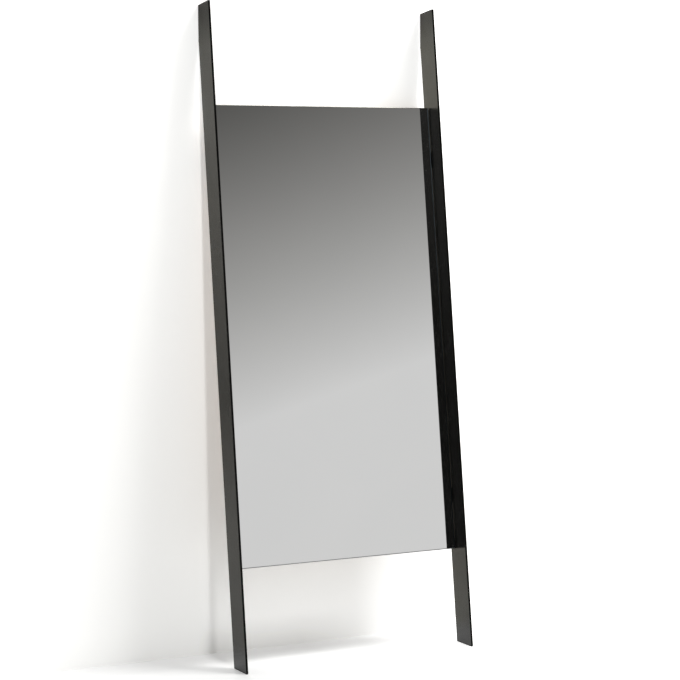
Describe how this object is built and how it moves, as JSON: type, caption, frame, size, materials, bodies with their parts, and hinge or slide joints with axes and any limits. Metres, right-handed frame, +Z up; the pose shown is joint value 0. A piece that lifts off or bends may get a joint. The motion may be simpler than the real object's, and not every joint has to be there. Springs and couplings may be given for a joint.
{
  "type": "full-length mirror",
  "caption": "Tall leaning mirror: a frameless glass set back between flat black steel side plates that stand on the floor and rest against a wall.",
  "frame": {"origin": "on the floor, at the middle of the space that the mirror takes up in width and depth", "axes": "+Z up, +Y towards the wall that the mirror leans on, +X to the right of someone looking into the mirror"},
  "size_m": [0.7, 0.275, 1.7998],
  "materials": {
    "black_steel": "satin black powder coat",
    "mirror_glass": "silvered clear glass with ground edges",
    "backing_board": "sealed brown fibreboard",
    "satin_aluminium": "satin brushed aluminium",
    "mirror_tape": "white foam tape",
    "mirror_adhesive": "cured mirror adhesive",
    "zinc_screw": "zinc-plated",
    "black_bolt": "blackened steel",
    "rubber": "matt black rubber"
  },
  "bodies": {
    "root": {"left_side_plate": "black_steel", "right_side_plate": "black_steel", "mirror_glass": "mirror_glass", "setting_pads": "rubber", "mirror_tape": "mirror_tape", "mirror_adhesive": "mirror_adhesive", "backing_board": "backing_board", "glass_ledge": "satin_aluminium", "ledge_screws": "zinc_screw", "upper_cross_rail": "black_steel", "lower_cross_rail": "black_steel", "rail_screws": "zinc_screw", "left_upper_bracket": "black_steel", "left_lower_bracket": "black_steel", "right_upper_bracket": "black_steel", "right_lower_bracket": "black_steel", "bracket_bolts": "black_bolt", "left_foot_pad": "rubber", "right_foot_pad": "rubber", "left_wall_pad": "rubber", "right_wall_pad": "rubber"}
  },
  "joints": []
}
